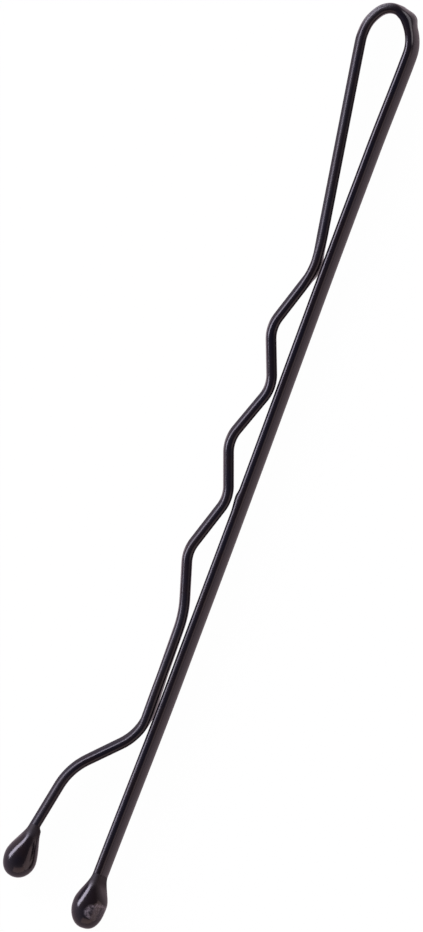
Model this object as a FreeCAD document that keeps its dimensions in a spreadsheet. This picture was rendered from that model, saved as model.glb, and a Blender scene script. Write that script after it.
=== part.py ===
import FreeCAD, Part
import math
import os
from collections import namedtuple

import Sketcher
from FreeCAD import Placement, Rotation, Vector

# A bobby pin: one flat spring-steel wire bent into a bow, a straight leg and a crimped leg,
# with a dipped resin tip on each end. It lies on its side: the plane of the pin is XY, the
# straight leg runs along Y with the bow at its upper end, and the wire's width is along Z.
# The wire is cut into the stretches that flex against each other when the pin is opened.

doc = FreeCAD.newDocument("bobby_pin")

# Driving sizes, in millimetres and degrees
SIZES = {
    # Flat wire
    "wire_thickness": 0.55,
    "wire_width": 1.3,
    "wire_corner_share": 0.9,
    # Straight leg, from the foot of the bow to its tip, with its broad outer face rolled upwards
    "leg_run": 44.95,
    "leg_twist": 16.0,
    # Bow: a tight crown between two wider sides
    "bow_side_radius": 2.37,
    "bow_side_angle": 40.3,
    "bow_crown_radius": 1.03,
    "bow_crown_angle": 104.8,
    # Crimped leg, also rolled: troughs rest beside the straight leg, crests stand away from it
    "arm_twist": 1.0,
    "leg_clearance": 0.05,
    "crimp_height": 0.95,
    "crimp_radius": 1.83,
    "crimp_pitch": 6.11,
    "crest_share": 0.527,
    "first_trough_radius": 4.8,
    "first_trough_lift": 0.06,
    "first_crimp_pitch": 6.87,
    "first_crest_share": 0.564,
    "second_trough_lift": 0.04,
    "third_trough_lift": 0.12,
    # Grip run along the straight leg, then the toe that flares away to let hair in
    "settle_pitch": 7.23,
    "settle_radius": 5.8,
    "settle_lift": 0.06,
    "grip_share": 0.2767,
    "heel_setback": 8.62,
    "heel_radius": 2.84,
    "flare_angle": 43.7,
    "flare_run": 1.94,
    "flare_radius": 3.43,
    "toe_angle": 10.7,
    "toe_run": 2.34,
    # Dipped tips: drops that swell from the wire to a round end
    "tip_length": 2.92,
    "tip_width": 1.68,
    "tip_depth": 1.86,
    "tip_widest_share": 0.57,
    "tip_corner_share": 0.96,
    "tip_neck_wall": 0.04,
    "tip_seat": 1.5,
    "seat_step": 0.03,
    "toe_tip_lean": 6.5,
    # How far a cut runs past the face that it opens
    "cut_overrun": 0.5,
}
SWELL_SHARES = (0.0, 0.35, 0.7)
DOME_SHARES = (0.0, 0.3, 0.55, 0.75, 0.9)

sheet = doc.addObject("Spreadsheet::Sheet", "sizes")
for row, (name, value) in enumerate(SIZES.items(), start=1):
    sheet.set(f"A{row}", name)
    sheet.set(f"B{row}", str(value))
    sheet.setAlias(f"B{row}", name)
doc.recompute()


def size(name):
    return float(sheet.get(name))


def angle(name):
    return math.radians(size(name))


# The wire's middle line: straight runs that are tangent to bends, as if bent around pins

# A bend's radius is positive where the wire, followed from the straight leg, turns left
Bend = namedtuple("Bend", "centre radius size_name")
Arc = namedtuple("Arc", "bend heading_in heading_out")
Run = namedtuple("Run", "start end")


def along(heading):
    return Vector(math.cos(heading), math.sin(heading), 0)


def left_of(heading):
    return Vector(-math.sin(heading), math.cos(heading), 0)


def on_bend(bend, heading):
    """The point of a bend where the wire has this heading."""
    return bend.centre - left_of(heading) * bend.radius


def run_heading(bend, next_bend):
    """Heading of the straight run that leaves one bend and meets the next."""
    gap = next_bend.centre - bend.centre
    swing = (next_bend.radius - bend.radius) / gap.Length
    return math.atan2(gap.y, gap.x) - math.asin(max(-1, min(1, swing)))


def turn_between(heading, next_heading):
    """The turn from one heading to the next, to the left if positive, under half a circle."""
    return (next_heading - heading + math.pi) % (2 * math.pi) - math.pi


half_thickness = size("wire_thickness") / 2
half_width = size("wire_width") / 2
corner_radius = half_thickness * size("wire_corner_share")


def reach(twist_name):
    """Half the room that the rolled wire takes in the plane of the pin."""
    flat_part = (half_thickness - corner_radius) * math.cos(angle(twist_name))
    rolled_part = (half_width - corner_radius) * math.sin(angle(twist_name))
    return flat_part + rolled_part + corner_radius


leg_reach = reach("leg_twist")
arm_reach = reach("arm_twist")
trough_offset = leg_reach + size("leg_clearance") + arm_reach

# How far below the bow's foot the troughs and the heel stand: the arm above the crimps and the
# grip run below them share the length that the crimps leave
crimped_length = size("first_crimp_pitch") + size("crimp_pitch") + size("settle_pitch")
heel_drop = size("leg_run") - size("heel_setback")
grip_length = (heel_drop - crimped_length) * size("grip_share")
settle_drop = heel_drop - grip_length
third_drop = settle_drop - size("settle_pitch")
second_drop = third_drop - size("crimp_pitch")
first_drop = second_drop - size("first_crimp_pitch")


def bow_bends():
    """The bow's three arcs, each flowing into the next, from the head of the straight leg."""
    side = size("bow_side_radius")
    crown = size("bow_crown_radius")
    leg_side = Bend(Vector(-side, 0, 0), side, "bow_side_radius")
    joined = angle("bow_side_angle")
    crown_bend = Bend(
        leg_side.centre - left_of(math.pi / 2 + joined) * (side - crown), crown, "bow_crown_radius"
    )
    joined += angle("bow_crown_angle")
    arm_side = Bend(
        crown_bend.centre - left_of(math.pi / 2 + joined) * (crown - side), side, "bow_side_radius"
    )
    return [leg_side, crown_bend, arm_side]


def trough(lift, drop, size_name):
    """A bend whose outside comes nearest to the straight leg."""
    radius = size(size_name)
    return Bend(Vector(-trough_offset - lift - radius, -drop, 0), -radius, size_name)


def crest(drop):
    """A bend whose outside stands furthest from the straight leg."""
    radius = size("crimp_radius")
    stand_off = trough_offset + size("crimp_height")
    return Bend(Vector(radius - stand_off, -drop, 0), radius, "crimp_radius")


def crimp_bends():
    """Three crimps, trough and crest, down the leg."""
    first_crest = size("first_crest_share") * size("first_crimp_pitch")
    next_crest = size("crest_share") * size("crimp_pitch")
    return [
        trough(size("first_trough_lift"), first_drop, "first_trough_radius"),
        crest(first_drop + first_crest),
        trough(size("second_trough_lift"), second_drop, "crimp_radius"),
        crest(second_drop + next_crest),
        trough(size("third_trough_lift"), third_drop, "crimp_radius"),
        crest(third_drop + next_crest),
    ]


def toe_bends():
    """The bend that settles onto the straight leg, the heel that leaves it, and the flare's end."""
    settle = trough(size("settle_lift"), settle_drop, "settle_radius")
    heel = trough(0, heel_drop, "heel_radius")
    flare_heading = -math.pi / 2 - angle("flare_angle")
    flare_start = on_bend(heel, flare_heading) + along(flare_heading) * size("flare_run")
    flare_radius = size("flare_radius")
    flare = Bend(flare_start + left_of(flare_heading) * flare_radius, flare_radius, "flare_radius")
    return [settle, heel, flare]


bends = bow_bends() + crimp_bends() + toe_bends()
LEG_SIDE, CROWN, ARM_SIDE = range(3)
TROUGH_1, CREST_1, TROUGH_2, CREST_2, TROUGH_3, CREST_3 = range(3, 9)
SETTLE, HEEL, FLARE = range(9, 12)

leg_heading = math.pi / 2
toe_heading = -math.pi / 2 - angle("toe_angle")
headings = [leg_heading]
headings += [run_heading(bend, next_bend) for bend, next_bend in zip(bends, bends[1:])]
headings += [toe_heading]

toe_neck = on_bend(bends[FLARE], toe_heading) + along(toe_heading) * size("toe_run")
leg_neck = along(-leg_heading) * size("leg_run")


def bends_and_runs(first, last):
    """The stretch of wire from one bend to another, with the straight run after each of them."""
    pieces = []
    for index in range(first, last + 1):
        bend = bends[index]
        pieces.append(Arc(bend, headings[index], headings[index + 1]))
        start = on_bend(bend, headings[index + 1])
        end = toe_neck if index == FLARE else on_bend(bends[index + 1], headings[index + 1])
        pieces.append(Run(start, end))
    return pieces


crown_heading = headings[CROWN] + turn_between(headings[CROWN], headings[CROWN + 1]) / 2
stretches = {
    "bow_straight_side": [
        Arc(bends[LEG_SIDE], headings[LEG_SIDE], headings[CROWN]),
        Arc(bends[CROWN], headings[CROWN], crown_heading),
    ],
    "bow_arm_side": [
        Arc(bends[CROWN], crown_heading, headings[ARM_SIDE]),
        Arc(bends[ARM_SIDE], headings[ARM_SIDE], headings[ARM_SIDE + 1]),
    ],
    "spring_arm": bends_and_runs(ARM_SIDE, ARM_SIDE)[1:],
    "crimp_1": bends_and_runs(TROUGH_1, CREST_1),
    "crimp_2": bends_and_runs(TROUGH_2, CREST_2),
    "crimp_3": bends_and_runs(TROUGH_3, CREST_3),
    "grip_run": bends_and_runs(SETTLE, SETTLE),
    "flared_toe": bends_and_runs(HEEL, FLARE),
}


def start_of(piece):
    """The point and heading where a piece of the middle line starts."""
    if isinstance(piece, Run):
        step = piece.end - piece.start
        return piece.start, math.atan2(step.y, step.x)
    return on_bend(piece.bend, piece.heading_in), piece.heading_in


# Sketches

def new_body(label):
    body = doc.addObject("PartDesign::Body", label)
    body.Label = label
    return body


def new_sketch(body, name, plane_role):
    sketch = body.newObject("Sketcher::SketchObject", name)
    plane = next(item for item in body.Origin.OriginFeatures if item.Role == plane_role)
    sketch.AttachmentSupport = (plane, "")
    sketch.MapMode = "FlatFace"
    return sketch


def bind(sketch, constraint, expression):
    """Adds a constraint whose size is read from the sheet."""
    index = sketch.addConstraint(constraint)
    sketch.setExpression(f"Constraints[{index}]", expression)


def draw_path(body, name, pieces):
    """Draws a stretch of the wire's middle line in the plane of the pin."""
    sketch = new_sketch(body, name, "XY_Plane")
    for piece in pieces:
        if isinstance(piece, Run):
            sketch.addGeometry(Part.LineSegment(piece.start, piece.end))
            continue
        bend = piece.bend
        circle = Part.Circle(bend.centre, Vector(0, 0, 1), abs(bend.radius))
        ends = [on_bend(bend, piece.heading_in), on_bend(bend, piece.heading_out)]
        if bend.radius < 0:
            ends.reverse()
        arc = Part.ArcOfCircle(circle, circle.parameter(ends[0]), circle.parameter(ends[1]))
        index = sketch.addGeometry(arc)
        bind(sketch, Sketcher.Constraint("Radius", index, abs(bend.radius)), f"sizes.{bend.size_name}")
    return sketch


# A rounded rectangle square to the wire, in expressions: across in the plane of the pin, deep along Z
Section = namedtuple("Section", "across deep corner_share")
WIRE_SECTION = Section("sizes.wire_thickness", "sizes.wire_width", "sizes.wire_corner_share")
SEAT_SECTION = Section(
    "(sizes.wire_thickness - 2 * sizes.seat_step)",
    "(sizes.wire_width - 2 * sizes.seat_step)",
    "sizes.wire_corner_share",
)


def draw_section(body, name, section, point, heading, twist):
    """Draws a section at a point of the wire, rolled about the wire by a twist in degrees."""
    sketch = new_sketch(body, name, "XZ_Plane")
    turn = Rotation(Vector(0, 1, 0), math.degrees(heading - leg_heading))
    roll = Rotation(Vector(0, 0, 1), twist)
    sketch.AttachmentOffset = Placement(Vector(point.x, 0, -point.y), turn * roll)
    x = sketch.evalExpression(section.across) / 2
    y = sketch.evalExpression(section.deep) / 2
    corner = min(x, y) * sketch.evalExpression(section.corner_share)
    in_x = x - corner
    in_y = y - corner
    centres = [(in_x, in_y), (-in_x, in_y), (-in_x, -in_y), (in_x, -in_y)]
    arcs = []
    for quarter, (centre_x, centre_y) in enumerate(centres):
        circle = Part.Circle(Vector(centre_x, centre_y, 0), Vector(0, 0, 1), corner)
        start = quarter * math.pi / 2
        arcs.append(sketch.addGeometry(Part.ArcOfCircle(circle, start, start + math.pi / 2)))
    sides = []
    for quarter, arc in enumerate(arcs):
        next_arc = arcs[(quarter + 1) % len(arcs)]
        start = sketch.getPoint(arc, 2)
        end = sketch.getPoint(next_arc, 1)
        side = sketch.addGeometry(Part.LineSegment(start, end))
        sketch.addConstraint(Sketcher.Constraint("Tangent", arc, 2, side, 1))
        sketch.addConstraint(Sketcher.Constraint("Tangent", side, 2, next_arc, 1))
        sides.append(side)
    top, left, bottom, right = sides
    for flat in (top, bottom):
        sketch.addConstraint(Sketcher.Constraint("Horizontal", flat))
    for upright in (left, right):
        sketch.addConstraint(Sketcher.Constraint("Vertical", upright))
    for arc in arcs[1:]:
        sketch.addConstraint(Sketcher.Constraint("Equal", arcs[0], arc))
    half_across = f"({section.across}) / 2"
    half_deep = f"({section.deep}) / 2"
    corner_size = f"min({half_across}; {half_deep}) * {section.corner_share}"
    bind(sketch, Sketcher.Constraint("Radius", arcs[0], corner), corner_size)
    bind(sketch, Sketcher.Constraint("DistanceX", -1, 1, right, 1, x), half_across)
    bind(sketch, Sketcher.Constraint("DistanceX", left, 1, -1, 1, x), half_across)
    bind(sketch, Sketcher.Constraint("DistanceY", -1, 1, top, 1, y), half_deep)
    bind(sketch, Sketcher.Constraint("DistanceY", bottom, 1, -1, 1, y), half_deep)
    return sketch


# The wire's stretches

def add_seat(body, neck, heading, twist):
    """The wire's end, a little slimmer, that its tip is dipped onto."""
    seat = body.newObject("PartDesign::Pad", f"{body.Label}_seat")
    seat.Profile = draw_section(body, f"{body.Label}_seat_section", SEAT_SECTION, neck, heading, twist)
    seat.Reversed = True
    seat.setExpression("Length", "sizes.tip_seat")


def make_straight_leg():
    """The straight leg, drawn as one prism down to its tip."""
    body = new_body("straight_leg")
    leg = body.newObject("PartDesign::Pad", "leg")
    leg.Profile = draw_section(body, "leg_section", WIRE_SECTION, Vector(), leg_heading, size("leg_twist"))
    leg.setExpression("Length", "sizes.leg_run")
    add_seat(body, leg_neck, -leg_heading, -size("leg_twist"))
    return body


def make_stretch(label, pieces):
    """One stretch of wire, swept along its bends and runs."""
    body = new_body(label)
    point, heading = start_of(pieces[0])
    twist = size("leg_twist") if label == "bow_straight_side" else size("arm_twist")
    pipe_path = draw_path(body, f"{label}_path", pieces)
    pipe = body.newObject("PartDesign::AdditivePipe", f"{label}_wire")
    pipe.Profile = draw_section(body, f"{label}_section", WIRE_SECTION, point, heading, twist)
    pipe.Spine = pipe_path
    if label == "bow_straight_side":
        pipe.Transformation = "Multisection"
        pipe.Sections = crown_sections(body)
    if label == "flared_toe":
        add_seat(body, toe_neck, toe_heading, size("arm_twist"))
    return body


def crown_sections(body):
    """The sections between which the wire unrolls, from the crown's start to its middle."""
    start = on_bend(bends[CROWN], headings[CROWN])
    middle = on_bend(bends[CROWN], crown_heading)
    return [
        draw_section(body, "crown_start", WIRE_SECTION, start, headings[CROWN], size("leg_twist")),
        draw_section(body, "crown_middle", WIRE_SECTION, middle, crown_heading, size("arm_twist")),
    ]


# The dipped tips

def tip_stations():
    """Where along a tip its sections stand, as a share of its length, and the sections."""
    neck_across = "(sizes.wire_thickness + 2 * sizes.tip_neck_wall)"
    neck_deep = "(sizes.wire_width + 2 * sizes.tip_neck_wall)"
    widest = size("tip_widest_share")
    for share in SWELL_SHARES:
        swell = share * share * (3 - 2 * share)
        across = f"({neck_across} + (sizes.tip_width - {neck_across}) * {swell})"
        deep = f"({neck_deep} + (sizes.tip_depth - {neck_deep}) * {swell})"
        yield widest * share, Section(across, deep, "sizes.tip_corner_share")
    for share in DOME_SHARES:
        climb = math.sin(share * math.pi / 2)
        draw_in = math.cos(share * math.pi / 2)
        across = f"(sizes.tip_width * {draw_in})"
        deep = f"(sizes.tip_depth * {draw_in})"
        yield widest + (1 - widest) * climb, Section(across, deep, "sizes.tip_corner_share")


def make_tip(label, neck, heading, lean, twist):
    """A drop of resin that swells from the wire, with a socket that the wire's end fills."""
    body = new_body(label)
    axis = heading + lean
    sections = []
    for number, (share, section) in enumerate(tip_stations()):
        point = neck + along(axis) * (size("tip_length") * share)
        facing = axis if share else heading
        sections.append(draw_section(body, f"{label}_{number}", section, point, facing, twist))
    drop = body.newObject("PartDesign::AdditiveLoft", f"{label}_drop")
    drop.Profile = sections[0]
    drop.Sections = sections[1:]
    doc.recompute()
    whole = body.Shape.Volume
    wire_end = neck + along(heading) * size("tip_seat")
    socket_section = draw_section(body, f"{label}_socket_section", SEAT_SECTION, wire_end, heading, twist)
    socket = body.newObject("PartDesign::Pocket", f"{label}_socket")
    socket.Profile = socket_section
    socket.Reversed = True
    socket.setExpression("Length", "sizes.tip_seat + sizes.cut_overrun")
    doc.recompute()
    if not body.Shape.Volume < whole:
        raise RuntimeError(f"{label} has no socket")
    return body


def check_built():
    """Stops before anything is written if a feature failed or a sub-part has no sound shape."""
    for item in doc.Objects:
        if "Invalid" in item.State or "Error" in item.State:
            raise RuntimeError(f"{item.Label} did not build: {item.getStatusString()}")
    for part in parts:
        if part.Shape.isNull() or not part.Shape.isValid():
            raise RuntimeError(f"{part.Label} has no valid shape")


parts = [make_straight_leg()]
parts += [make_stretch(label, pieces) for label, pieces in stretches.items()]
parts.append(make_tip("straight_tip", leg_neck, -leg_heading, 0, -size("leg_twist")))
parts.append(make_tip("toe_tip", toe_neck, toe_heading, angle("toe_tip_lean"), size("arm_twist")))
doc.recompute()
check_built()

# The pin is set down with the middle of its box over the origin and its tips on the ground
box = FreeCAD.BoundBox()
for part in parts:
    box.add(part.Shape.optimalBoundingBox())
to_ground = Vector(-box.Center.x, -box.Center.y, -box.ZMin)
for part in parts:
    part.Placement = Placement(to_ground, Rotation())
doc.recompute()
check_built()

os.makedirs("parts", exist_ok=True)
for part in parts:
    part.Shape.exportStep(f"parts/{part.Label}.step")

# The flex hinges stand on the outside of the bow and legs, where the cut faces stay together
for label, pieces in stretches.items():
    point, heading = start_of(pieces[0])
    outside = leg_reach if label == "bow_straight_side" else arm_reach
    hinge = point - left_of(heading) * outside + to_ground
    print(f"hinge {label} {hinge.x:.5f} {hinge.y:.5f} {hinge.z:.5f}")

# The straight leg's broad outer face, halfway along it
face_normal = Vector(math.cos(angle("leg_twist")), 0, math.sin(angle("leg_twist")))
face_middle = leg_neck / 2 + face_normal * half_thickness + to_ground
print(f"outer face {face_middle.x:.5f} {face_middle.y:.5f} {face_middle.z:.5f}")
print(f"outer normal {face_normal.x:.5f} {face_normal.y:.5f} {face_normal.z:.5f}")

# The gap between the legs, halfway along the grip run
grip = Vector(-leg_reach - size("leg_clearance") / 2, -(settle_drop + heel_drop) / 2, 0) + to_ground
print(f"grip gap {grip.x:.5f} {grip.y:.5f} {grip.z:.5f}")
print(f"box {box.XLength:.3f} {box.YLength:.3f} {box.ZLength:.3f}")
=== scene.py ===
import math
from collections import namedtuple

import bmesh
import bpy
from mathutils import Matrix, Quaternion, Vector, noise


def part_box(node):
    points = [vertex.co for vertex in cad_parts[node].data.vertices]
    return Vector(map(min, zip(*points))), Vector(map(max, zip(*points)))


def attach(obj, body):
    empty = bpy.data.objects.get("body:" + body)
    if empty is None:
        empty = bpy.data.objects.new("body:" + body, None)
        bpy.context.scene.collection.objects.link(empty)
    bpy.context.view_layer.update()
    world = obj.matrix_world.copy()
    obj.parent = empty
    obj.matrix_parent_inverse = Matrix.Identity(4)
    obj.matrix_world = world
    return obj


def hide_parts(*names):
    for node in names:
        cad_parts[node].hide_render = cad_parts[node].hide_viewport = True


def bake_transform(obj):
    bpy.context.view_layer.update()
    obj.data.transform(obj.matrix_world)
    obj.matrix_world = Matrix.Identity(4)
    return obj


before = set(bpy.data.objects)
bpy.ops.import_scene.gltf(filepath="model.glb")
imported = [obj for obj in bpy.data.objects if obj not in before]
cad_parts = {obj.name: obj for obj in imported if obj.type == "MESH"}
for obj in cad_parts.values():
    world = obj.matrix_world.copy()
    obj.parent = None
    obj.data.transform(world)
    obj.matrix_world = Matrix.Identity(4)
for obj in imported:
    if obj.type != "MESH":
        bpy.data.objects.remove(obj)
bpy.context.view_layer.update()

# Spring wire: the line it is bent along
# One length of flat spring steel with rounded edges, bent around pins into a straight leg, a bow
# and a crimped leg. Its line is straight runs that are tangent to the bends between them.
MM = 0.001
UP = math.pi / 2
UPRIGHT = Vector((0, 0, 1))

wire_thickness = 0.56 * MM
wire_width = 1.3 * MM
wire_edge_radius = 0.255 * MM
crimp_radius = 1.83 * MM

leg_low, leg_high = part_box("straight_leg")
leg_middle = (leg_low + leg_high) / 2
bow_foot = Vector((leg_middle.x, leg_high.y, leg_middle.z))
leg_length = leg_high.y - leg_low.y
tip_seat = 1.5 * MM

# Bends in the order in which the wire goes through them, from the foot of the bow. A radius is
# positive where the wire turns left.
Bend = namedtuple("Bend", "name centre radius")


def along(heading):
    return Vector((math.cos(heading), math.sin(heading), 0))


def left_of(heading):
    return Vector((-math.sin(heading), math.cos(heading), 0))


def bow_bends():
    """A tight crown between two wider sides, each flowing into the next."""
    side, crown = 2.37 * MM, 1.03 * MM
    side_turn, crown_turn = math.radians(40.3), math.radians(104.8)
    crown_start = UP + side_turn
    crown_end = crown_start + crown_turn
    leg_side = Vector((-side, 0, 0))
    crown_centre = leg_side - left_of(crown_start) * (side - crown)
    arm_side = crown_centre - left_of(crown_end) * (crown - side)
    return [
        Bend("leg_side", leg_side, side),
        Bend("crown", crown_centre, crown),
        Bend("arm_side", arm_side, side),
    ]


def trough(name, drop, lift, radius):
    """A bend that comes nearest to the straight leg, a drop below the foot of the bow."""
    beside_leg = 0.695 * MM
    return Bend(name, Vector((-beside_leg - lift - radius, -drop, 0)), -radius)


def crest(name, drop):
    """A bend that stands furthest from the straight leg."""
    stand_off = 1.645 * MM
    return Bend(name, Vector((crimp_radius - stand_off, -drop, 0)), crimp_radius)


def crimped_leg_bends():
    """Three crimps, the settling bend above the grip run and the heel below it."""
    first_drop = 11.85 * MM
    first_crest = first_drop + 3.685 * MM
    second_drop = first_drop + 6.68 * MM
    third_drop = second_drop + 6.11 * MM
    settle_drop = third_drop + 7.23 * MM
    heel_drop = settle_drop + 4.46 * MM
    crest_below_trough = 3.22 * MM
    return [
        trough("trough_1", first_drop, lift=-0.009 * MM, radius=2.1 * MM),
        crest("crest_1", first_crest),
        trough("trough_2", second_drop, lift=0.04 * MM, radius=crimp_radius),
        crest("crest_2", second_drop + crest_below_trough),
        trough("trough_3", third_drop, lift=0.12 * MM, radius=crimp_radius),
        crest("crest_3", third_drop + crest_below_trough),
        trough("settle", settle_drop, lift=0.06 * MM, radius=5.8 * MM),
        trough("heel", heel_drop, lift=-0.03 * MM, radius=2.84 * MM),
    ]


def on_bend(bend, heading):
    """The point of a bend where the wire has this heading."""
    return bend.centre - left_of(heading) * bend.radius


def run_heading(bend, next_bend):
    """Heading of the straight run that leaves one bend and meets the next."""
    gap = next_bend.centre - bend.centre
    swing = (next_bend.radius - bend.radius) / gap.length
    return math.atan2(gap.y, gap.x) - math.asin(max(-1, min(1, swing)))


def flare_bend(heel):
    """The bend at the end of the flare, which turns the toe back down."""
    heading, run, radius = -UP - math.radians(43.7), 1.94 * MM, 3.43 * MM
    start = on_bend(heel, heading) + along(heading) * run
    return Bend("flare", start + left_of(heading) * radius, radius)


bends = bow_bends() + crimped_leg_bends()
bends.append(flare_bend(bends[-1]))
toe_heading = -UP - math.radians(10.7)
toe_run = 2.34 * MM
headings = [UP]
headings += [run_heading(bend, after) for bend, after in zip(bends, bends[1:])]
headings.append(toe_heading)

# The line as a chain of arcs and runs. Places on it are given by the length of wire before them.
Segment = namedtuple("Segment", "name start heading curve length before")
Station = namedtuple("Station", "place heading roll")
shortest_segment = 0.001 * MM


def wire_segments():
    segments = []

    def add(name, start, heading, curve, length):
        before = segments[-1].before + segments[-1].length if segments else 0
        if length > shortest_segment:
            segments.append(Segment(name, start, heading, curve, length, before))

    add("leg", along(-UP) * leg_length, UP, 0, leg_length)
    for index, bend in enumerate(bends):
        heading, heading_after = headings[index], headings[index + 1]
        turn = (heading_after - heading + math.pi) % (2 * math.pi) - math.pi
        add(bend.name, on_bend(bend, heading), heading, 1 / bend.radius, turn * bend.radius)
        run_start = on_bend(bend, heading_after)
        if bend.name == "flare":
            run_length = toe_run + tip_seat
        else:
            run_length = (on_bend(bends[index + 1], heading_after) - run_start).length
        add("run_after_" + bend.name, run_start, heading_after, 0, run_length)
    return segments


segments = wire_segments()
by_name = {segment.name: segment for segment in segments}


def start_of(name):
    return by_name[name].before


def partway(name, share):
    return by_name[name].before + by_name[name].length * share


def middle_of(name):
    return partway(name, 0.5)


def end_of(name):
    return partway(name, 1)


def ease(share):
    share = max(0, min(1, share))
    return share * share * (3 - 2 * share)


def eased_through(knots, place):
    """A value that eases from knot to knot, each a place and the value there."""
    for (place_a, value_a), (place_b, value_b) in zip(knots, knots[1:]):
        if place <= place_b:
            return value_a + (value_b - value_a) * ease((place - place_a) / (place_b - place_a))
    return knots[-1][1]


# Degrees by which the flat wire is rolled about its own line: where they are positive, the outside
# of the pin is turned up to the viewer. The crimping tool left the runs rolled to and fro.
WIRE_ROLLS = (
    (end_of("leg") - 0.5 * MM, 21), (end_of("leg_side"), 17),
    (partway("crown", 0.3), 12), (partway("crown", 0.6), 2), (end_of("crown"), 0),
    (end_of("arm_side"), 4), (start_of("trough_1") - 1.2 * MM, 4),
    (middle_of("trough_1"), -10), (end_of("trough_1") + 0.8 * MM, 4),
    (start_of("crest_1"), 4), (end_of("crest_1"), 2), (start_of("trough_2"), 2), (end_of("trough_2"), 4),
    (start_of("crest_2"), 4), (end_of("crest_2"), 2), (start_of("trough_3"), 2), (end_of("trough_3"), 4),
    (start_of("crest_3"), 4), (end_of("crest_3"), 2), (start_of("settle"), 1), (end_of("settle"), 1),
    (partway("heel", 0.05), -8), (partway("heel", 0.45), 4), (end_of("heel"), 5), (end_of("flare"), 3),
)

# Millimetres by which the wire strays to the outside of that line: it is springy and not quite true
WIRE_STRAY = (
    (end_of("leg") - 47 * MM, -0.1), (end_of("leg") - 34 * MM, 0.03), (end_of("leg") - 27 * MM, 0.042),
    (end_of("leg") - 9 * MM, -0.03), (end_of("leg") - 5.5 * MM, -0.022), (end_of("leg") - 0.3 * MM, 0.042),
    (partway("crown", 0.1), -0.062), (partway("crown", 0.75), 0.018),
    (partway("arm_side", 0.35), 0.022), (partway("arm_side", 0.75), -0.006),
    (end_of("arm_side") + 1 * MM, 0),
)


def station_at(before):
    """Where the wire is, which way it heads and how far it is rolled, after a length of wire."""
    segment = next((s for s in segments if before <= s.before + s.length), segments[-1])
    travelled = before - segment.before
    heading = segment.heading + segment.curve * travelled
    if segment.curve:
        place = segment.start + (left_of(segment.heading) - left_of(heading)) / segment.curve
    else:
        place = segment.start + along(segment.heading) * travelled
    place -= left_of(heading) * (eased_through(WIRE_STRAY, before) * MM)
    return Station(bow_foot + place, heading, math.radians(eased_through(WIRE_ROLLS, before)))


# Spring wire: its enamel
# A baked black lacquer, glossy, with the faint orange peel of a dipped coat. It is a little bluer
# or browner from place to place and dull where it is handled. On the bow a light grey sheen, and a
# strip of steel along the shoulder's ridge, are painted on as highlights.
def new_group(name, inputs, outputs):
    group = bpy.data.node_groups.new(name, "ShaderNodeTree")
    for socket_name, value in inputs.items():
        socket = group.interface.new_socket(socket_name, in_out="INPUT", socket_type="NodeSocketFloat")
        socket.default_value = value
    for socket_name in outputs:
        group.interface.new_socket(socket_name, in_out="OUTPUT", socket_type="NodeSocketFloat")
    return group


def add_node(tree, kind, **values):
    node = tree.nodes.new(kind)
    for name, value in values.items():
        setattr(node, name, value)
    return node


def add_noise(tree, vector, scale, detail, rough):
    """Noise whose scale is a number, or the socket that gives it."""
    node = add_node(tree, "ShaderNodeTexNoise")
    tree.links.new(vector, node.inputs["Vector"])
    if isinstance(scale, (int, float)):
        node.inputs["Scale"].default_value = scale
    else:
        tree.links.new(scale, node.inputs["Scale"])
    node.inputs["Detail"].default_value = detail
    node.inputs["Roughness"].default_value = rough
    return node.outputs["Fac"]


def add_step(tree, value, low, high):
    """0 below a low value and 1 above a high one, with a smooth step between them."""
    node = add_node(tree, "ShaderNodeMapRange", interpolation_type="SMOOTHSTEP")
    tree.links.new(value, node.inputs["Value"])
    node.inputs["From Min"].default_value = low
    node.inputs["From Max"].default_value = high
    return node.outputs["Result"]


def add_math(tree, operation, *values):
    node = add_node(tree, "ShaderNodeMath", operation=operation)
    for socket, value in zip(node.inputs, values):
        if isinstance(value, (int, float)):
            socket.default_value = value
        else:
            tree.links.new(value, socket)
    return node.outputs["Value"]


def add_mix(tree, share, colour_a, colour_b):
    node = add_node(tree, "ShaderNodeMix", data_type="RGBA")
    tree.links.new(share, node.inputs["Factor"])
    for socket, colour in ((node.inputs["A"], colour_a), (node.inputs["B"], colour_b)):
        if isinstance(colour, tuple):
            socket.default_value = (*colour, 1)
        else:
            tree.links.new(colour, socket)
    return node.outputs["Result"]


# The skin of a dipped coat: a slow drift of tint, its gloss, the height of its peel and the speckle
# of its scuffs and of the highlights painted on with them. The scales are in features per millimetre.
dip_skin = new_group(
    "dip_skin",
    {"Drift Scale": 0.9, "Peel Scale": 5.0, "Dull": 0.0, "Scuff And Highlight": 0.0},
    ("Drift", "Roughness", "Height", "Speckle"),
)


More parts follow.
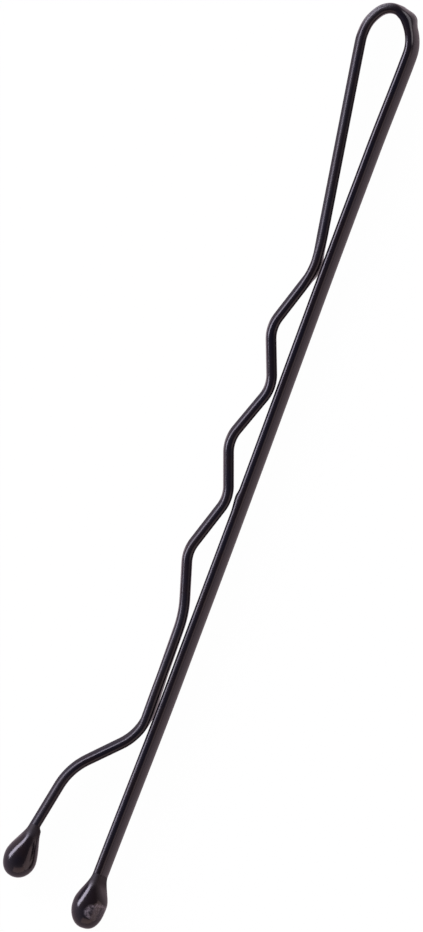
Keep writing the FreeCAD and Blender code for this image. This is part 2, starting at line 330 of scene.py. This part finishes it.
def wire_up_dip_skin(group):
    fresh_gloss, dull_adds, scuff_adds, peel_adds = 0.13, 0.6, 0.35, 0.06
    least_speckle_share, scuff_height = 0.4, 1.6
    given = add_node(group, "NodeGroupInput")
    result = add_node(group, "NodeGroupOutput")
    place = add_node(group, "ShaderNodeTexCoord")
    in_mm = add_node(group, "ShaderNodeVectorMath", operation="SCALE")
    in_mm.inputs["Scale"].default_value = 1 / MM
    group.links.new(place.outputs["Object"], in_mm.inputs[0])
    vector = in_mm.outputs["Vector"]
    clouds = add_noise(group, vector, given.outputs["Drift Scale"], detail=3, rough=0.5)
    peel = add_noise(group, vector, given.outputs["Peel Scale"], detail=2, rough=0.45)
    grit = add_noise(group, vector, scale=14, detail=4, rough=0.65)
    drift = add_step(group, clouds, low=0.35, high=0.65)
    speckle = add_step(group, grit, low=0.42, high=0.66)
    broken = add_math(group, "MULTIPLY_ADD", speckle, 1 - least_speckle_share, least_speckle_share)
    # The scuff mask also carries the highlights painted on with it
    scuffed_and_highlit = add_math(group, "MULTIPLY", given.outputs["Scuff And Highlight"], broken)
    handled = add_math(group, "MULTIPLY_ADD", given.outputs["Dull"], dull_adds, fresh_gloss)
    dulled = add_math(group, "MULTIPLY_ADD", scuffed_and_highlit, scuff_adds, handled)
    uneven = add_math(group, "MULTIPLY_ADD", peel, peel_adds, dulled)
    pitted = add_math(group, "MULTIPLY_ADD", scuffed_and_highlit, scuff_height, peel)
    group.links.new(drift, result.inputs["Drift"])
    group.links.new(uneven, result.inputs["Roughness"])
    group.links.new(pitted, result.inputs["Height"])
    group.links.new(scuffed_and_highlit, result.inputs["Speckle"])


wire_up_dip_skin(dip_skin)


def new_material(name):
    material = bpy.data.materials.new(name)
    material.use_nodes = True
    shader = material.node_tree.nodes["Principled BSDF"]
    return material, material.node_tree, shader


def add_paint(tree, attribute_name):
    return add_node(tree, "ShaderNodeAttribute", attribute_name=attribute_name).outputs["Fac"]


def dress_in_skin(tree, shader, drift_scale, peel_scale, peel_depth, scuff_and_highlight, colours):
    """Feeds a shader's gloss and bump from the dipped skin, and gives back its colour: two tints that
    drift, and a third where it is scuffed and where highlights are painted on."""
    skin = add_node(tree, "ShaderNodeGroup", node_tree=dip_skin)
    skin.inputs["Drift Scale"].default_value = drift_scale
    skin.inputs["Peel Scale"].default_value = peel_scale
    tree.links.new(add_paint(tree, "dull"), skin.inputs["Dull"])
    tree.links.new(scuff_and_highlight, skin.inputs["Scuff And Highlight"])
    tree.links.new(skin.outputs["Roughness"], shader.inputs["Roughness"])
    bump = add_node(tree, "ShaderNodeBump")
    bump.inputs["Strength"].default_value = 1
    bump.inputs["Distance"].default_value = peel_depth
    tree.links.new(skin.outputs["Height"], bump.inputs["Height"])
    tree.links.new(bump.outputs["Normal"], shader.inputs["Normal"])
    shader.inputs["Specular Tint"].default_value = (1.0, 0.89, 0.96, 1)
    cool, warm, scuffed_and_highlit = colours
    tint = add_mix(tree, skin.outputs["Drift"], cool, warm)
    return add_mix(tree, skin.outputs["Speckle"], tint, scuffed_and_highlit)


def make_enamel():
    """Enamel that is painted with its scuffs and the bow's painted sheen, with where it is dull, and with
    the steel painted along the shoulder's ridge as its highlight.
    """
    # The colour of the steel painted along the shoulder's ridge as its highlight
    ridge_highlight_steel = (0.56, 0.54, 0.55)
    material, tree, shader = new_material("black_enamel")
    tint = dress_in_skin(
        tree, shader, drift_scale=0.8, peel_scale=5.0, peel_depth=0.0007 * MM,
        scuff_and_highlight=add_paint(tree, "scuff_and_sheen"),
        # The third colour is painted where the enamel is scuffed, and as the light grey sheen on the bow
        colours=((0.006, 0.005, 0.011), (0.010, 0.006, 0.009), (0.30, 0.28, 0.29)),
    )
    # Painted highlight: metallic steel along the ridge of the bow's shoulder
    steel_ridge_highlight = add_paint(tree, "steel_ridge_highlight")
    tree.links.new(add_mix(tree, steel_ridge_highlight, tint, ridge_highlight_steel), shader.inputs["Base Color"])
    tree.links.new(steel_ridge_highlight, shader.inputs["Metallic"])
    shader.inputs["IOR"].default_value = 1.46
    return material


enamel = make_enamel()


# Spring wire: its stretches
# The wire bends all along its length when the pin is opened, so it is drawn as seven stretches.
# Each spans one of the hinges; the stretches meet where the wire stays stiff.
def wire_skin(facing):
    """The point of the wire's section that faces this way: across to the outside of the pin, and deep.
    Round wire rolled flat keeps round edges and slightly bowed faces."""
    edge_middle = wire_width / 2 - wire_edge_radius
    half = wire_thickness / 2
    face_bulge = wire_thickness - 2 * wire_edge_radius
    face_radius = (half ** 2 + edge_middle ** 2 - wire_edge_radius ** 2) / face_bulge
    face_reach = edge_middle / (face_radius - wire_edge_radius)
    across, deep = math.cos(facing), math.sin(facing)
    if abs(deep) < face_reach:
        inset = math.copysign(face_radius - half, across)
        return across * face_radius - inset, deep * face_radius
    return across * wire_edge_radius, deep * wire_edge_radius + math.copysign(edge_middle, deep)


def section_facings():
    """Which ways the points of the wire's section face, closer together on its edges than on its faces."""
    count, crowding = 64, 0.05
    facings = []
    for step in range(count):
        share = step / count
        facings.append((share + math.sin(4 * math.pi * share) * crowding) * 2 * math.pi)
    return facings


def rolled(across, deep, roll):
    """A point of the section after the wire is rolled: outside of the pin, and upwards."""
    outside = across * math.cos(roll) - deep * math.sin(roll)
    upwards = across * math.sin(roll) + deep * math.cos(roll)
    return outside, upwards


def rise_and_fall(place, start, rise, end, fall):
    """0 up to a start, rising to 1 over one length, and falling from an end over another."""
    return ease((place - start) / rise) * (1 - ease((place - end) / fall))


def shoulder_lump(before):
    """How thick the lump of enamel is at a place on the bow's shoulder, 1 at its middle."""
    middle, half_length = partway("crown", 0.055), 0.5 * MM
    return 1 - ease(abs(before - middle) / half_length)


def leg_run(before):
    """How thick a run of enamel is on the straight leg's inner side: it tapers towards the tip."""
    top = end_of("leg") - 23.95 * MM
    return rise_and_fall(top - before, start=0, rise=0.45 * MM, end=0.3 * MM, fall=1.0 * MM)


def ring_at(before, facings):
    """The wire's section at a place, with any lump of enamel on its outer face or run on its inner one."""
    lump_depth, lump_pits, pit_size, run_depth = 0.12 * MM, 0.03 * MM, 0.16 * MM, 0.07 * MM
    station = station_at(before)
    outside = -left_of(station.heading)
    lump, run = shoulder_lump(before), leg_run(before)
    ring = []
    for facing in facings:
        across, deep = wire_skin(facing)
        out, up = rolled(across, deep, station.roll)
        point = station.place + outside * out + UPRIGHT * up
        pitted = lump_depth + lump_pits * noise.noise(point / pit_size)
        outer, inner = max(0, math.cos(facing)), max(0, -math.cos(facing))
        ring.append(point + outside * (pitted * lump * outer ** 2 - run_depth * run * inner))
    return ring


def skin_rings(name, rings, pole=None):
    """A closed mesh over rings of points. Its last ring is capped flat, or drawn in to a pole."""
    sharp_edge = math.radians(50)
    count = len(rings[0])
    vertices = [point for ring in rings for point in ring]
    faces = [tuple(range(count))]
    for row in range(len(rings) - 1):
        for step in range(count):
            after = (step + 1) % count
            here, there = row * count, (row + 1) * count
            faces.append((here + step, here + after, there + after, there + step))
    last = len(vertices) - count
    if pole is None:
        faces.append(tuple(range(last, len(vertices))))
    else:
        faces += [(last + step, last + (step + 1) % count, len(vertices)) for step in range(count)]
        vertices.append(pole)
    mesh = bpy.data.meshes.new(name)
    mesh.from_pydata(vertices, [], faces)
    shape = bmesh.new()
    shape.from_mesh(mesh)
    bmesh.ops.recalc_face_normals(shape, faces=shape.faces)
    shape.to_mesh(mesh)
    shape.free()
    mesh.shade_smooth()
    mesh.set_sharp_from_angle(angle=sharp_edge)
    piece = bpy.data.objects.new(name, mesh)
    bpy.context.scene.collection.objects.link(piece)
    return piece


def paint(piece, attribute_name, values):
    attribute = piece.data.attributes.new(attribute_name, "FLOAT", "POINT")
    attribute.data.foreach_set("value", values)


def between(place, first, last, fade):
    """1 between two places, easing to 0 outside them."""
    return ease((place - first) / fade + 1) * ease((last - place) / fade + 1)


def near(facing, middle, spread):
    """1 where the section faces one way, falling off over a spread of degrees. The outer face is at 0
    degrees and the upper edge at 90."""
    return math.exp(-((math.degrees(facing) - middle + 180) % 360 - 180) ** 2 / spread ** 2)


trace_of_wear = 0.01


def scuff_and_sheen_at(before, facing):
    """A trace of scuffing everywhere, and a painted sheen: a light grey band on the outside of the
    bow beyond its crown, where the light catches it.
    """
    most = 0.78
    # Painted sheen: a light grey band on the outer upper side of the bow, beyond its crown
    on_bow = between(before, partway("crown", 0.85), partway("arm_side", 0.3), fade=0.7 * MM)
    return trace_of_wear + most * on_bow * near(facing, 25, spread=42)


def steel_ridge_highlight_at(before, facing):
    """How far steel is painted along the upper ridge of the bow's shoulder, as if the enamel were worn
    through there: it stands in for the thin highlight along that ridge.
    """
    on_shoulder = between(before, partway("leg_side", 0.45), partway("crown", 0.2), fade=0.4 * MM)
    # Painted highlight: a thin strip of steel along the shoulder's ridge
    return on_shoulder * near(facing, 44, spread=7)


# How dull handling has left the enamel along the wire's upper edge
DULLNESS = (
    (start_of("leg"), 0.25), (end_of("leg") - 33 * MM, 0.2), (end_of("leg") - 12 * MM, 0.05),
    (end_of("leg"), 0), (end_of("arm_side"), 0.25), (start_of("trough_1"), 0.25), (end_of("trough_1"), 0),
    (end_of("crest_3"), 0.2), (end_of("settle"), 0.4), (start_of("heel"), 0.25),
    (start_of("flare"), 0), (end_of("flare"), 0.4),
)

# Stretches of the crimped leg whose outer face is dull too, where it slides through the hair
DULL_OUTSIDES = (
    "run_after_arm_side", "run_after_trough_1", "run_after_trough_2", "run_after_trough_3",
    "heel", "run_after_heel", "flare", "run_after_flare",
)
outside_dullness = 0.9


def dull_at(before, facing):
    """How dull the enamel is: along the upper edge, and on the outer face of some stretches."""
    on_edge = eased_through(DULLNESS, before) * near(facing, 90, spread=45)
    outside = max(between(before, start_of(name), end_of(name), fade=0.6 * MM) for name in DULL_OUTSIDES)
    return on_edge + outside_dullness * outside * near(facing, 0, spread=40)


def ring_places(first, last):
    """Places for rings from one end of a stretch to the other, closer together on tight bends."""
    widest_gap, widest_turn = 0.12 * MM, math.radians(2)
    places = [first]
    for segment in segments:
        start, end = max(first, segment.before), min(last, segment.before + segment.length)
        if end - start < shortest_segment:
            continue
        spacing = min(widest_gap, widest_turn / abs(segment.curve)) if segment.curve else widest_gap
        count = math.ceil((end - start) / spacing)
        places += [start + (end - start) * step / count for step in range(1, count + 1)]
    return places


def wire_stretch(name, first, last, hinge, nodes):
    """A stretch of wire from one place to another, which spans a hinge between two bodies."""
    facings = section_facings()
    places = ring_places(first, last)
    piece = skin_rings(name, [ring_at(place, facings) for place in places])
    # The sheen on the bow and the steel along its shoulder are painted highlights
    paint(piece, "scuff_and_sheen", [scuff_and_sheen_at(place, facing) for place in places for facing in facings])
    paint(piece, "steel_ridge_highlight", [steel_ridge_highlight_at(place, facing) for place in places for facing in facings])
    paint(piece, "dull", [dull_at(place, facing) for place in places for facing in facings])
    piece.data.materials.append(enamel)
    middle = station_at(hinge)
    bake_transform(piece)
    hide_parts(*nodes)


wire_stretch(
    "straight_leg_wire", start_of("leg"), end_of("leg_side"),
    hinge=end_of("leg"),
    nodes=["straight_leg"],
)
wire_stretch(
    "bow_wire", start_of("crown"), end_of("crown"),
    hinge=middle_of("crown"),
    nodes=["bow_straight_side", "bow_arm_side"],
)
wire_stretch(
    "spring_arm_wire", end_of("crown"), middle_of("run_after_arm_side"),
    hinge=end_of("arm_side"),
    nodes=["spring_arm"],
)
wire_stretch(
    "first_crimp_wire", middle_of("run_after_arm_side"), middle_of("run_after_trough_1"),
    hinge=start_of("trough_1"),
    nodes=["crimp_1"],
)
wire_stretch(
    "second_crimp_wire", middle_of("run_after_trough_1"), middle_of("run_after_trough_2"),
    hinge=start_of("trough_2"),
    nodes=["crimp_2"],
)
wire_stretch(
    "third_crimp_wire", middle_of("run_after_trough_2"), middle_of("run_after_trough_3"),
    hinge=start_of("trough_3"),
    nodes=["crimp_3"],
)
wire_stretch(
    "toe_wire", middle_of("run_after_trough_3"), end_of("run_after_flare"),
    hinge=start_of("settle"),
    nodes=["grip_run", "flared_toe"],
)

# Resin tips
# The cut ends are dipped in black resin, which sets as a drop over the wire: a thin collar where
# it begins, a full belly and a round end. Handling has worn a flat into the straight leg's drop.
Tip = namedtuple("Tip", "neck heading wire_roll length left right depth shape_more")
Side = namedtuple("Side", "neck belly belly_share fullness")
collar = 0.025 * MM
collar_length = 0.06 * MM


def make_resin():
    """Resin that is painted with where it is worn, with the highlight painted along the worn flat's rim,
    and with where it is dull.
    """
    material, tree, shader = new_material("dipped_resin")
    tint = dress_in_skin(
        tree, shader, drift_scale=0.6, peel_scale=3.5, peel_depth=0.0015 * MM,
        scuff_and_highlight=add_paint(tree, "wear_and_glint"),
        # The third colour is painted on the worn flat, and as the highlight along its rim
        colours=((0.006, 0.005, 0.010), (0.012, 0.007, 0.008), (0.38, 0.33, 0.38)),
    )
    tree.links.new(tint, shader.inputs["Base Color"])
    shader.inputs["IOR"].default_value = 1.55
    return material


resin = make_resin()


def side_reach(side, share):
    """How far one side of a drop stands from its middle, at a share of its length from the neck."""
    if share < side.belly_share:
        return side.neck + (side.belly - side.neck) * ease(share / side.belly_share)
    dome = (share - side.belly_share) / (1 - side.belly_share)
    return side.belly * max(0, 1 - dome ** side.fullness) ** (1 / side.fullness)


def wire_neck(angles, roll):
    """The rolled wire's outline at some angles, with its reach to the side and upwards set to 1."""
    outline = [rolled(*wire_skin(angle - roll), roll) for angle in angles]
    widest = max(level for level, _ in outline)
    highest = max(upward for _, upward in outline)
    return [(level / widest, upward / highest) for level, upward in outline]


def collar_sink(gone):
    """How far the resin's skin lies back at the very neck, where its edge is round."""
    begun = max(0, 1 - gone / collar_length)
    return collar * (1.1 - math.sqrt(1 - begun * begun)) if begun else 0


def drop_ring(tip, share, angles, neck):
    """One ring of a drop: the wire's own outline at the neck, and an oval from halfway on. Its skin is
    a little lumpy, except at the neck and the end."""
    oval_share, lump_height, lump_size = 0.5, 0.008 * MM, 0.55 * MM
    gone = share * tip.length
    side = left_of(tip.heading)
    middle = tip.neck + along(tip.heading) * gone
    swell = ease(share / oval_share)
    lumpy = lump_height * rise_and_fall(share, start=0, rise=0.2, end=0.75, fall=0.25)
    sink = collar_sink(gone)
    deep = side_reach(tip.depth, share) - sink
    ring = []
    for angle, (neck_level, neck_upward) in zip(angles, neck):
        level = neck_level + (math.cos(angle) - neck_level) * swell
        upward = neck_upward + (math.sin(angle) - neck_upward) * swell
        across = side_reach(tip.right if level > 0 else tip.left, share) - sink
        offset = side * (level * across) + UPRIGHT * (upward * deep)
        outward = offset.normalized() if offset.length else side
        lump = noise.noise((middle + offset) / lump_size) * lumpy
        ring.append(middle + offset + outward * (lump + tip.shape_more(angle, gone)))
    return ring


def neck_dullness(gone):
    """The resin is thin and dull where it laps the wire."""
    most, lap, fade = 0.9, 0.3 * MM, 0.6 * MM
    return most * (1 - ease((gone - lap) / fade))


def make_drop(name, tip):
    around, rows = 160, 90
    collar_shares = [0, 0.002, 0.005, 0.009, 0.014]
    angles = [2 * math.pi * step / around for step in range(around)]
    neck = wire_neck(angles, tip.wire_roll)
    shares = collar_shares + [math.sin(UP * row / rows) for row in range(1, rows)]
    rings = [drop_ring(tip, share, angles, neck) for share in shares]
    piece = skin_rings(name, rings, tip.neck + along(tip.heading) * tip.length)
    paint(piece, "dull", [neck_dullness(share * tip.length) for share in shares for _ in angles] + [0])
    piece.data.materials.append(resin)
    return piece


def plain(angle, gone):
    return 0


leg_neck = station_at(start_of("leg") + tip_seat)
straight_tip = make_drop("straight_leg_tip", Tip(
    neck=leg_neck.place, heading=-UP, wire_roll=leg_neck.roll, length=2.9 * MM,
    left=Side(neck=0.395 * MM, belly=0.86 * MM, belly_share=0.59, fullness=2.0),
    right=Side(neck=0.395 * MM, belly=0.89 * MM, belly_share=0.53, fullness=2.6),
    depth=Side(neck=0.72 * MM, belly=0.925 * MM, belly_share=0.46, fullness=2.1), shape_more=plain,
))

# The worn flat on the upper side of the straight leg's drop
flat_middle = bow_foot + Vector((0.38, -46.81, 0)) * MM
flat_turn = math.radians(20.5)
flat_half_long, flat_half_short = 0.6 * MM, 0.39 * MM


def on_flat(point):
    """A place on the worn flat, as shares of its half length and half width, or far off it."""
    offset = point - flat_middle
    if offset.z < 0:
        return Vector((9, 9))
    lengthwise, crosswise = offset.dot(along(flat_turn)), offset.dot(left_of(flat_turn))
    return Vector((lengthwise / flat_half_long, crosswise / flat_half_short))


def wear_flat(piece):
    """Sinks the flat and scuffs it in patches, and paints a patchy highlight along its upper rim and its
    left end, where the rim catches the light.
    """
    sink, patch_size = 0.03 * MM, 0.11 * MM
    rim_share, rim_width = 0.86, 0.15
    wear_and_glint = []
    for vertex in piece.data.vertices:
        spot = on_flat(vertex.co)
        sunk = 1 - ease((spot.length - 0.75) / 0.5)
        # Painted highlight along the flat's upper rim and its left end
        highlight_side = max(0.7 * ease(2 * spot.y), ease(-2 * spot.x - 0.6))
        rim_highlight = math.exp(-((spot.length - rim_share) / rim_width) ** 2) * highlight_side
        inside = sunk * (1 - 0.6 * ease(0.4 - spot.y))
        patchy = 0.75 + 1.1 * noise.noise(vertex.co / patch_size)
        vertex.co.z -= sink * sunk
        wear_and_glint.append(max(trace_of_wear, min(1, (0.5 * inside + 1.2 * rim_highlight) * patchy)))
    paint(piece, "wear_and_glint", wear_and_glint)


wear_flat(straight_tip)
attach(straight_tip, "straight_leg")
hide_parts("straight_tip")


def toe_drip(angle, gone):
    """The toe's drop has a shoulder on the side of the straight leg, and a crease along that side."""
    shoulder_depth, crease_depth = 0.11 * MM, 0.02 * MM
    crease_angle, crease_width = math.radians(48), math.radians(9)
    facing = max(0, math.cos(angle)) ** 2
    shoulder = rise_and_fall(gone, start=0.05 * MM, rise=0.2 * MM, end=0, fall=1.8 * MM)
    crease = math.exp(-((angle - crease_angle) / crease_width) ** 2)
    along_crease = rise_and_fall(gone, start=0.5 * MM, rise=0.4 * MM, end=1.7 * MM, fall=0.6 * MM)
    return shoulder_depth * shoulder * facing - crease_depth * crease * along_crease


toe_neck = station_at(end_of("run_after_flare") - tip_seat)
toe_tip_turn = math.radians(6.5)
toe_tip = make_drop("toe_tip_drop", Tip(
    neck=toe_neck.place, heading=toe_heading + toe_tip_turn, wire_roll=-toe_neck.roll, length=2.92 * MM,
    left=Side(neck=0.285 * MM, belly=0.835 * MM, belly_share=0.63, fullness=2.15),
    right=Side(neck=0.29 * MM, belly=0.872 * MM, belly_share=0.67, fullness=2.0),
    depth=Side(neck=0.67 * MM, belly=0.925 * MM, belly_share=0.48, fullness=2.1), shape_more=toe_drip,
))
paint(toe_tip, "wear_and_glint", [trace_of_wear] * len(toe_tip.data.vertices))
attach(toe_tip, "toe")
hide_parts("toe_tip")


# Floor
# A plain white sheet that the pin lies on, resting on its two tips. It is seen as white, the
# enamel's gloss sees it dimmer and mauve, and it still takes the pin's shadow.
def add_glow(tree):
    """How far the sheet glows, and its glow: white where it is seen, mauve in gloss."""
    seen_share, gloss_share, strength = 0.94, 0.35, 1.05
    white, mauve = (1, 1, 1), (1.0, 0.79, 0.86)
    path = add_node(tree, "ShaderNodeLightPath")
    in_gloss = path.outputs["Is Glossy Ray"]
    seen = add_math(tree, "MAXIMUM", path.outputs["Is Camera Ray"], path.outputs["Is Transmission Ray"])
    share_seen = add_math(tree, "MULTIPLY", seen, seen_share)
    share_in_gloss = add_math(tree, "MULTIPLY", in_gloss, gloss_share)
    glow = add_node(tree, "ShaderNodeEmission")
    glow.inputs["Strength"].default_value = strength
    tree.links.new(add_mix(tree, in_gloss, white, mauve), glow.inputs["Color"])
    return add_math(tree, "MAXIMUM", share_seen, share_in_gloss), glow


def make_floor():
    half = 3
    corners = [(-half, -half, 0), (half, -half, 0), (half, half, 0), (-half, half, 0)]
    mesh = bpy.data.meshes.new("floor")
    mesh.from_pydata(corners, [], [(0, 1, 2, 3)])
    floor = bpy.data.objects.new("floor", mesh)
    bpy.context.scene.collection.objects.link(floor)
    material, tree, shader = new_material("white_sheet")
    place = add_node(tree, "ShaderNodeTexCoord").outputs["Object"]
    grain = add_noise(tree, place, scale=900, detail=2, rough=0.5)
    tint = add_mix(tree, grain, (0.35, 0.32, 0.335), (0.38, 0.35, 0.365))
    tree.links.new(tint, shader.inputs["Base Color"])
    shader.inputs["Roughness"].default_value = 0.9
    shader.inputs["Specular IOR Level"].default_value = 0
    share, glow = add_glow(tree)
    mixed = add_node(tree, "ShaderNodeMixShader")
    tree.links.new(share, mixed.inputs["Fac"])
    tree.links.new(shader.outputs["BSDF"], mixed.inputs[1])
    tree.links.new(glow.outputs["Emission"], mixed.inputs[2])
    tree.links.new(mixed.outputs["Shader"], tree.nodes["Material Output"].inputs["Surface"])
    floor.data.materials.append(material)


make_floor()

# Light and camera
# A long window leans at the upper left, a dim warm softbox stands opposite it and a dim brown card
# below, in a grey room. The camera looks straight down with the pin leaning across the picture.
picture_turn = math.radians(20.51)
picture_middle = bow_foot + Vector((-2.1034, -23.355, 0)) * MM
picture_height = 47.77 * MM


def add_softbox(name, azimuth, elevation, width, height, watts, colour, lean=0):
    """A softbox that faces the pin, leaning to its side. Its azimuth is as seen in the picture, from
    the right."""
    distance = 0.4
    turned = math.radians(azimuth) + picture_turn
    raised = math.radians(elevation)
    toward = along(turned) * math.cos(raised) + UPRIGHT * math.sin(raised)
    lamp = bpy.data.lights.new(name, "AREA")
    lamp.shape = "RECTANGLE"
    lamp.size, lamp.size_y = width, height
    lamp.energy = watts
    lamp.color = colour
    softbox = bpy.data.objects.new(name, lamp)
    softbox.location = picture_middle + toward * distance
    leaning = Quaternion((0, 0, 1), -math.radians(lean))
    softbox.rotation_euler = (toward.to_track_quat("Z", "Y") @ leaning).to_euler()
    bpy.context.scene.collection.objects.link(softbox)


add_softbox(
    "long_window", azimuth=145.5, elevation=26.5, width=0.57, height=0.16, lean=30,
    watts=2.65, colour=(0.84, 0.87, 1.0),
)
add_softbox(
    "warm_softbox", azimuth=-38, elevation=24, width=0.4, height=0.28, watts=0.25, colour=(1.0, 0.80, 0.74),
)
add_softbox(
    "brown_card", azimuth=-95, elevation=20, width=0.4, height=0.2, watts=0.16, colour=(1.0, 0.72, 0.60),
)


def light_room():
    """Grey walls under a dark ceiling."""
    world = bpy.data.worlds.new("grey_room")
    world.use_nodes = True
    bpy.context.scene.world = world
    tree = world.node_tree
    place = add_node(tree, "ShaderNodeTexCoord")
    parts = add_node(tree, "ShaderNodeSeparateXYZ")
    tree.links.new(place.outputs["Generated"], parts.inputs["Vector"])
    ceiling = add_step(tree, parts.outputs["Z"], low=0.1, high=0.95)
    walls = add_mix(tree, ceiling, (0.42, 0.38, 0.40), (0.06, 0.06, 0.07))
    tree.links.new(walls, tree.nodes["Background"].inputs["Color"])


light_room()

lens = bpy.data.cameras.new("camera")
camera = bpy.data.objects.new("camera", lens)
camera_height = 0.6
camera.location = picture_middle + UPRIGHT * camera_height
camera.rotation_euler = (0, 0, picture_turn)
lens.sensor_width = 36
lens.lens = lens.sensor_width * camera_height / picture_height
lens.clip_start = 0.01
bpy.context.scene.collection.objects.link(camera)
bpy.context.scene.camera = camera
bpy.context.scene.view_settings.view_transform = "Standard"
